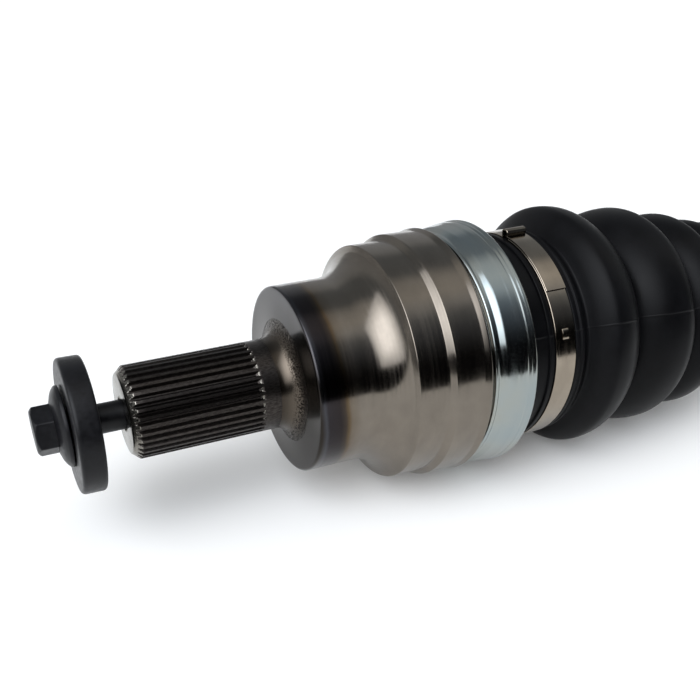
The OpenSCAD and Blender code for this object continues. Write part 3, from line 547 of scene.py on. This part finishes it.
# %% [markdown]
# The bolt's head is a hexagon cut back by a cone, which gives the curved chamfer on each flat. A hexagon
# could be a cylinder of six sides, but then the cone would have to be cut from it. Here the radius is the
# smaller of the two, and the chamfer comes out by itself. The shank is plain where it shows. Its thread
# starts inside the stub, as a ridge that climbs one pitch a turn.

# %% Hub bolt
FLATS = 17.0
BOLT_SEAT = -88.7
PITCH = 1.5
PLAIN_RADIUS, THREAD_RADIUS, THREAD_DEPTH = 5.85, 5.92, 0.85
SIXTH = TURN / 6


def hexagon(angle):
    """The distance from the axis to the nearest flat of the head, along an angle."""
    return FLATS / 2 / math.cos((angle + TURN / 24 + SIXTH / 2) % SIXTH - SIXTH / 2)


def head_ring(x, ceiling):
    """A ring of the head, held under the cone that cuts its corners back."""
    return x, lambda angle: min(hexagon(angle), ceiling)


head_front = BOLT_SEAT - 12.1
head_rings = [(head_front, 0.0), (head_front, 7.6), (head_front + 0.1, 8.0)]
head_rings += [head_ring(head_front + 0.1 + 0.25 * k, 8.1 + 0.35 * k) for k in range(7)]
head_rings += [head_ring(head_front + 7.3, 99), (head_front + 7.6, lambda angle: hexagon(angle) + 0.1)]
cone = eased([(head_front + 7.6, 9.3), (head_front + 7.75, 9.7, 0.15), (head_front + 9.0, 13.6, 1.6),
              (head_front + 10.7, 15.7, 0.6), (head_front + 12.0, 15.9, 0.5), (head_front + 12.1, 15.3),
              (head_front + 12.1, 6.0)], 6)
bolt_head = skin("bolt_head", head_rings + cone, columns=180)
place(bolt_head, oxide, "black_steel", "bolt", "hub_bolt")


def thread_ring(x):
    """A ring of the thread. Its ridge turns with x, once a pitch."""
    return x, lambda angle: (
        THREAD_RADIUS - THREAD_DEPTH * (1 - abs(2 * ((x / PITCH - angle / TURN) % 1) - 1)) ** 1.15)


thread_start, thread_stop = -63.0, BOLT_SEAT + 43
RINGS_PER_TURN = 8
rings_in_thread = int((thread_stop - thread_start) / PITCH * RINGS_PER_TURN)
plain_part = [(BOLT_SEAT - 0.5, PLAIN_RADIUS), (thread_start - 1.2, PLAIN_RADIUS), (thread_start - 0.4, 5.1)]
threaded_part = [thread_ring(thread_start + k * PITCH / RINGS_PER_TURN) for k in range(rings_in_thread)]
shank = skin("bolt_shank", plain_part + threaded_part + [(thread_stop, 4.6), (thread_stop, 0.0)], columns=64)
place(shank, oxide, "black_steel", "bolt", "hub_bolt")

# %% [markdown]
# The washer is thick, because the bolt pulls the whole hub together through it. It hangs on the bolt by the
# play in its hole, and leans by as much as the bolt's flange allows. Its corners are tumbled round, and the
# wide rounding is what draws its grey rim.

# %% Hub washer
WASHER_HANG = 0.85
WASHER_LEAN = 1.5
washer_outline = eased([(-86.0, 6.9), (-88.25, 6.9, 0.7), (-88.25, 26.3, 1.9), (-78.85, 26.3, 1.4),
                        (-78.85, 6.9, 0.7), (-81.0, 6.9)], 8)
washer = skin("washer", washer_outline, drop=lambda x: WASHER_HANG)
washer_centre = Matrix.Translation((-83.55 * MM, 0, -WASHER_HANG * MM))
lean = Matrix.Rotation(math.radians(WASHER_LEAN), 4, "Y")
washer.data.transform(washer_centre @ lean @ washer_centre.inverted())
place(washer, oxide, "black_steel", "washer", "hub_washer")

# %% [markdown]
# The boot's adapter is electroplated with zinc and passivated, which gives a cool shine with a faint blue
# in it. The sheet was drawn over a punch, so fine lines run round it and streak every reflection.

# %% Zinc plate
def zinc_plate():
    """Bright zinc with a thin clear passivation film, which tints it blue and a little yellow in patches."""
    material, tree, shader = new_material("blue passivated zinc plate")
    film = grain(tree, 14, 22)
    colour = add(tree, "ShaderNodeValToRGB", {"Fac": film}, [(0.34, "929B9C"), (0.5, "989E9C"), (0.66, "9B9E98")])
    # The dull patches are where the film is thicker
    dull = add(tree, "ShaderNodeMapRange", {
        "Value": grain(tree, 0.8, 25, 4.0), **NOISE_SPAN, "To Min": 0.10, "To Max": 0.20})
    drawn = add(tree, "ShaderNodeBump", {"Height": grain(tree, 0.6, 60), "Distance": 0.004 * MM})
    wire(tree, shader, {"Base Color": colour, "Metallic": 1.0, "Roughness": dull, "Normal": drawn})
    return material


zinc = zinc_plate()
print("made", zinc.name)

# %% [markdown]
# The adapter is a can of sheet steel, rolled on to the bell's rim so that one boot size fits several bells.
# The beads and the rolled edge stiffen the sheet, and each of them draws a bright ring. The profile follows
# those rings in the photograph one by one, because they are what the eye reads there.

# %% Boot adapter
adapter_outline = eased([
    (69.4, 48.7), (69.3, 50.0, 0.15), (69.75, 50.45, 0.2), (70.3, 50.5, 0.2), (70.9, 50.15, 0.3),
    (71.9, 50.25, 0.4), (74.3, 51.5, 0.7), (79.2, 52.2, 0.6), (80.5, 52.5, 0.5), (82.5, 52.65, 0.3),
    (83.0, 52.5, 0.25), (84.0, 52.88, 0.3), (84.6, 52.78, 0.3), (85.8, 53.15, 0.4), (86.6, 53.0, 0.6),
    (87.6, 51.9, 0.8), (87.6, 50.2, 0.4), (87.6, 44.6, 0.8), (88.7, 42.95, 0.7), (92.0, 42.9)], 6)
adapter = skin("boot_adapter_sheet", adapter_outline, columns=320)
place(adapter, zinc, "zinc_plate", "outer_joint", "boot_adapter")

# %% [markdown]
# The boots are moulded from chloroprene rubber. Rubber of this kind is black with a waxy bloom that softens
# its shine. Its colour is nearly nothing, so what shows is the highlight along each crest.

# %% Moulded rubber
def moulded_rubber():
    """Chloroprene: very dark, with a soft wide highlight from wax that rises to the surface."""
    material, tree, shader = new_material("moulded chloroprene rubber")
    wax = grain(tree, 18, 18, 6.0, 0.62)
    colour = add(tree, "ShaderNodeValToRGB", {"Fac": wax}, [(0.35, "060607"), (0.70, "0D0D0F")])
    dull = add(tree, "ShaderNodeMapRange", {
        "Value": wax, **NOISE_SPAN, "To Min": 0.35, "To Max": 0.47})
    # Spark eroded mould texture, about 0.3 mm
    texture = add(tree, "ShaderNodeBump", {"Height": grain(tree, 0.35, 0.35, 2.0), "Distance": 0.008 * MM})
    wire(tree, shader, {"Base Color": colour, "Roughness": dull, "Specular IOR Level": 0.10, "Normal": texture})
    return material


rubber = moulded_rubber()
print("made", rubber.name)

# %% [markdown]
# A boot is a collar under the clamp, a few ribs, then convolutions that grow smaller and closer towards the
# bar. A plain wave would have crests and roots of one shape. Real ones have wide round crests and tight
# roots, so each half of a fold is a curve that leaves its crest flat and falls steeply to its root. The
# mould's two halves leave a fine raised line along both sides, for which the mesh gets columns of its own.

# %% Convolutions
MOULD_LINES = (math.radians(155), math.radians(335))
LINE_COLUMNS = [line + math.radians(step) for line in MOULD_LINES for step in (-0.45, -0.25, 0, 0.25, 0.45)]


def with_mould_line(radius):
    """A ring of the boot with the mould's raised lines on it."""
    def ring(angle):
        away = min(abs(math.degrees(angle - line)) for line in MOULD_LINES)
        return radius + 0.2 * max(0, 1 - away / 0.42)
    return ring


def fold(x1, crest_r, x2, root_r, steps=14):
    """Half a convolution, from a round crest at x1 to a tighter root at x2."""
    shares = [k / steps for k in range(steps)]
    return [(x1 + (x2 - x1) * share, root_r + (crest_r - root_r) * (1 - share ** 2.3) ** 0.8) for share in shares]


def convolutions(crests, depths):
    """The walls between crests given as (x, radius), with a root in the middle of each pair."""
    points = []
    for (x1, r1), (x2, r2), depth in zip(crests, crests[1:], depths):
        root_x, root_r = (x1 + x2) / 2, (r1 + r2) / 2 - depth
        points += fold(x1, r1, root_x, root_r) + [(root_x, root_r)] + fold(x2, r2, root_x, root_r)[:0:-1]
    return points


print("the mould's lines lie at", [round(math.degrees(line)) for line in MOULD_LINES], "degrees")

# %% [markdown]
# The outer boot has five crests. Each gap is 0.7 of the one before, and each crest is about 4 mm lower. The long soft
# part droops under its own weight, by up to 4 mm, which the outline in the photograph shows. At full bend the bar
# swings through the place where all but the first two folds lie at rest.

# %% Outer boot
CREST_RADII = (53.4, 49.5, 45.4, 41.3, 37.3)
FIRST_CREST, FIRST_GAP, GAP_RATIO = 128.5, 37.5, 0.7
crests = [(FIRST_CREST + FIRST_GAP * (1 - GAP_RATIO ** i) / (1 - GAP_RATIO), r) for i, r in enumerate(CREST_RADII)]
root_depths = [12.5 * 0.86 ** i for i in range(len(crests) - 1)]
CUFF_START, CUFF_RADIUS, CUFF_LENGTH = 236.5, 17.3, 16.0
# Places along the boot, and how far it hangs there
SAG_POINTS = ((112, 0.0), (128.5, 0.05), (166, 1.4), (192, 3.3), (212, 4.4), (226, 3.2), (236.5, 0.0))


def boot_sag(x):
    """How far the boot hangs at x, eased between the points above."""
    for (x1, s1), (x2, s2) in zip(SAG_POINTS, SAG_POINTS[1:]):
        if x1 <= x <= x2:
            return s1 + (s2 - s1) * (1 - math.cos(math.pi * (x - x1) / (x2 - x1))) / 2
    return 0.0


def cuff(x, length, r):
    """The small end of a boot: two low lips with the clamp's seat between them."""
    return eased([(x - 1, r), (x + 2.5, r + 0.3, 0.4), (x + 3.2, r - 0.6, 0.3), (x + length - 3.2, r - 0.6, 0.3),
                  (x + length - 2.5, r + 0.2, 0.4), (x + length, r, 0.5), (x + length, 14.2)], 4)


collar = eased([
    (88.9, 43.2), (88.9, 44.9, 0.5), (98.0, 45.0), (98.3, 45.9, 0.3), (100.2, 45.9, 0.4), (100.4, 45.05, 0.2),
    (111.0, 45.05, 0.2), (111.4, 45.8, 0.3), (112.6, 45.8, 0.3), (113.0, 44.9, 0.2), (114.2, 44.9, 0.2),
    (114.6, 45.5, 0.3), (115.8, 45.4, 0.3), (116.3, 44.4, 0.3), (118.2, 43.7, 0.6), (119.3, 43.8, 0.6),
    (120.6, 46.2)], 4)
# The wall from the collar's foot up to the first crest
(foot_x, foot_r), (crest_x, crest_r) = collar[-1], crests[0]
front_wall = [(foot_x + (crest_x - foot_x) * k / 12,
               foot_r + (crest_r - foot_r) * math.sin(math.pi / 2 * k / 12) ** 0.85) for k in range(1, 12)]
boot_profile = (collar + front_wall + convolutions(crests, root_depths)
                + fold(*crests[-1], CUFF_START - 1, CUFF_RADIUS) + cuff(CUFF_START, CUFF_LENGTH, CUFF_RADIUS))
outer_boot = skin("outer_boot_skin", [(x, with_mould_line(r)) for x, r in boot_profile], columns=240,
                  extra=LINE_COLUMNS, drop=boot_sag)
place(outer_boot, rubber, "rubber", None, "outer_boot")
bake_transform(outer_boot)

# %% [markdown]
# The inner boot has to bend and to slide. The bend happens on the bar's side and the slide on the housing's side, so it
# is made as two skins that meet in the last valley, the first on the bar's side and the second on the housing's side.
# That valley is shallow, because the bar swings nearly to it at full bend.

# %% Inner boot
MOUTH = 447.0
INNER_CUFF = MOUTH - 96
inner_pitch = (MOUTH - 4 - INNER_CUFF - 16) / 4
inner_crests = [(INNER_CUFF + 16 + inner_pitch * (i + 0.6), 46 - 5.2 * (3 - i)) for i in range(4)]
VALLEY = (inner_crests[2][0] + inner_crests[3][0]) / 2
small_end = [(2 * INNER_CUFF + 16 - x, r) for x, r in cuff(INNER_CUFF, 16, CUFF_RADIUS)[::-1]]
rise = fold(*inner_crests[0], INNER_CUFF + 17, CUFF_RADIUS)[:0:-1]
walls_of_boot = convolutions(inner_crests, (9.5, 9.5, 6.8))
last_wall = fold(*inner_crests[-1], MOUTH - 2.5, 46.6)
big_end = eased([(MOUTH - 2.5, 46.6), (MOUTH + 1.0, 47.9, 0.6), (MOUTH + 1.4, 47.5), (MOUTH + 12.2, 47.5),
                 (MOUTH + 12.6, 48.2, 0.3), (MOUTH + 13.4, 48.2, 0.4), (MOUTH + 13.8, 46.2)], 4)
# The valley's own ring belongs to both skins
before_valley = [(x, r) for x, r in walls_of_boot if x <= VALLEY]
after_valley = [(x, r) for x, r in walls_of_boot if x >= VALLEY]
bend_skin = skin("inner_boot_bend_skin", small_end + rise + before_valley, columns=192)
slide_skin = skin("inner_boot_slide_skin", after_valley + last_wall + big_end, columns=192)
for piece in (bend_skin, slide_skin):
    place(piece, rubber, "rubber", None, "inner_boot")
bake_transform(bend_skin)
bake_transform(slide_skin)

# %% [markdown]
# Each clamp is one strip of stainless steel, cold rolled, so it is bright, with fine lines round it. It is
# warmer than the zinc beside it, and the two tell each other apart by that.

# %% Stainless strip
def stainless_strip():
    """Cold rolled stainless: warm and bright. Its rolling lines are finer than the 0.5 mm drawn here."""
    material, tree, shader = new_material("cold rolled stainless strip")
    lines = grain(tree, 0.5, 60)
    haze = add(tree, "ShaderNodeValToRGB", {"Fac": grain(tree, 10, 14, 4.0)}, [(0.35, "8C8275"), (0.65, "9C9284")])
    polish = add(tree, "ShaderNodeMapRange", {
        "Value": lines, **NOISE_SPAN, "To Min": 0.10, "To Max": 0.20})
    rolled = add(tree, "ShaderNodeBump", {"Height": lines, "Distance": 0.002 * MM})
    wire(tree, shader, {"Base Color": haze, "Metallic": 1.0, "Roughness": polish, "Normal": rolled})
    return material


strip = stainless_strip()
print("made", strip.name)

# %% [markdown]
# The strip goes round the boot, rises into an ear that is crimped to draw it tight, and its outer end lies
# over its own beginning. A small tongue pressed out of the strip hooks the layers together. A ring with a
# box on it would lack the overlap, so the strip is a section with eased edges, led along one path.

# %% Strip along a path
STRIP_T = 0.8
EAR_WIDTH = 2.6


def across(y, z):
    """The direction that is a quarter turn clockwise from (y, z), with length 1."""
    length = math.hypot(y, z)
    return z / length, -y / length


def strip_along(name, path, x, width, thickness=STRIP_T, edge=0.16):
    """A flat strip whose inner face follows a path of (angle in degrees, radius)."""
    points = [(r * math.cos(math.radians(a)), r * math.sin(math.radians(a))) for a, r in path]
    section = [(edge, 0), (0, edge), (0, thickness - edge), (edge, thickness), (width - edge, thickness),
               (width, thickness - edge), (width, edge), (width - edge, 0)]
    builder = bmesh.new()
    loops = []
    for k, (y, z) in enumerate(points):
        before, after = points[max(k - 1, 0)], points[min(k + 1, len(points) - 1)]
        out_y, out_z = across(after[0] - before[0], after[1] - before[1])
        loops.append([builder.verts.new(((x + along) * MM, (y + out_y * up) * MM, (z + out_z * up) * MM))
                      for along, up in section])
    for low, high in zip(loops, loops[1:]):
        for i in range(len(section)):
            j = (i + 1) % len(section)
            builder.faces.new((low[i], low[j], high[j], high[i]))
    builder.faces.new(loops[0])
    builder.faces.new(loops[-1][::-1])
    return finished(name, builder)


def clamp_path(radius, ear_at, ear_height, overlap):
    """From the inner end, round the boot, up over the ear, and on over the inner end."""
    half = math.degrees(EAR_WIDTH / 2 / radius)
    begin, end = ear_at + half + 2, ear_at + 360
    path = [(begin + (end - half - begin) * k / 180, radius) for k in range(180)]
    # The ear: crimped at its foot and wide at its top, like the letter omega
    for share, rise in ((-0.72, 0.0), (-0.66, 0.25), (-0.70, 0.5), (-0.86, 0.72), (-0.92, 0.88), (-0.78, 1.0),
                        (-0.3, 1.08), (0.3, 1.08), (0.78, 1.0), (0.92, 0.88), (0.86, 0.72), (0.70, 0.5),
                        (0.66, 0.25), (0.74, 0.3)):
        path.append((end + share * half, radius + ear_height * rise))
    outer = radius + STRIP_T + 0.04
    path += [(end + half + overlap * k / 40, outer) for k in range(41)]
    return path


def band_clamp(name, radius, x, width, ear_at, ear_height, overlap, body, replaced):
    """A whole clamp: the strip, and the tongue that hooks its layers together."""
    band = strip_along(name, clamp_path(radius, ear_at, ear_height, overlap), x, width)
    place(band, strip, "stainless_band", body, replaced)
    half = math.degrees(EAR_WIDTH / 2 / radius)
    hook_at, top = ear_at + half + overlap + 22, radius + STRIP_T
    step = math.degrees(1 / radius)
    hook = strip_along(name + "_hook", [(hook_at + step * a, top + lift) for a, lift in (
        (-1.6, -0.3), (-1.2, 0.0), (-0.6, 0.12), (0.8, 0.13), (1.8, 0.05), (2.6, -0.15))],
        x + width * 0.35, width * 0.3, 0.2, 0.06)
    place(hook, strip, "stainless_band", body)


print("the strip is", STRIP_T, "mm thick and its ear", EAR_WIDTH, "mm wide")

# %% [markdown]
# Two clamps are large and sit on the joints, and two are small and grip the bar. Only the first one shows
# in the photograph. The others are of the same make, with their ears turned to other sides, as they fall
# when a shaft is put together by hand.

# %% Four clamps
SMALL_SEAT = CUFF_RADIUS - 0.55
# The node that a clamp stands for, its radius, place and width, its ear's angle and height, its overlap, its body
CLAMPS = [("outer_large_clamp", 45.08, 101.3, 9.5, 89, 3.2, 42, "outer_joint"),
          ("outer_small_clamp", SMALL_SEAT, CUFF_START + 4, 8.0, 60, 3.0, 75, "bar"),
          ("inner_small_clamp", SMALL_SEAT, INNER_CUFF + 4, 8.0, 120, 3.0, 75, "bar"),
          ("inner_large_clamp", 47.55, MOUTH + 2, 9.5, 70, 3.2, 42, "inner_joint")]
for node, *measures, body in CLAMPS:
    band_clamp(node + "_strip", *measures, body, node)

# %% [markdown]
# The rest keeps its exact solids and only takes a finish: hardened parts are grey and dull, rolling parts
# are ground bright, and the bar is dipped in black paint against rust.

# %% Other finishes
# Carburised and quenched: the skin is grey and takes a dull polish
hardened = plain_finish("case hardened steel", "68686A", "7C7C7F", 0.22, 0.36, 0.8)
# Ground and lapped, almost a mirror
bearing = plain_finish("ground bearing steel", "A6A6A8", "BABABC", 0.08, 0.16, 0.5)
# Forged, turned where it matters, and oiled
forged = plain_finish("oiled forging steel", "5C5A57", "74726E", 0.26, 0.42, 0.7)
# A dipped coat, thick and slightly uneven
paint = plain_finish("dipped black bar paint", "151516", "212123", 0.28, 0.42, 3.0, metallic=0.0)
FINISHES = {
    "adapter_seal": rubber, "outer_boot": rubber, "inner_boot": rubber, "boot_adapter": zinc, "end_cap": zinc,
    "outer_large_clamp": strip, "outer_small_clamp": strip, "inner_small_clamp": strip, "inner_large_clamp": strip,
    "ball_cage": hardened, "inner_race": hardened, "spider": hardened, "joint_balls": bearing,
    "race_circlip": bearing, "spider_circlip": bearing, "upper_needles": bearing, "lower_needles": bearing,
    "trunnion_retainers": bearing, "roller_right": bearing, "roller_left": bearing, "roller_lower": bearing,
    "drive_bar": paint, "inner_housing": forged, "hub_bolt": oxide, "hub_washer": oxide,
    "outer_housing": forging_steel,
}
for name, finish in FINISHES.items():
    nodes[name].data.materials.clear()
    nodes[name].data.materials.append(finish)
print("finished", len(FINISHES), "solids")
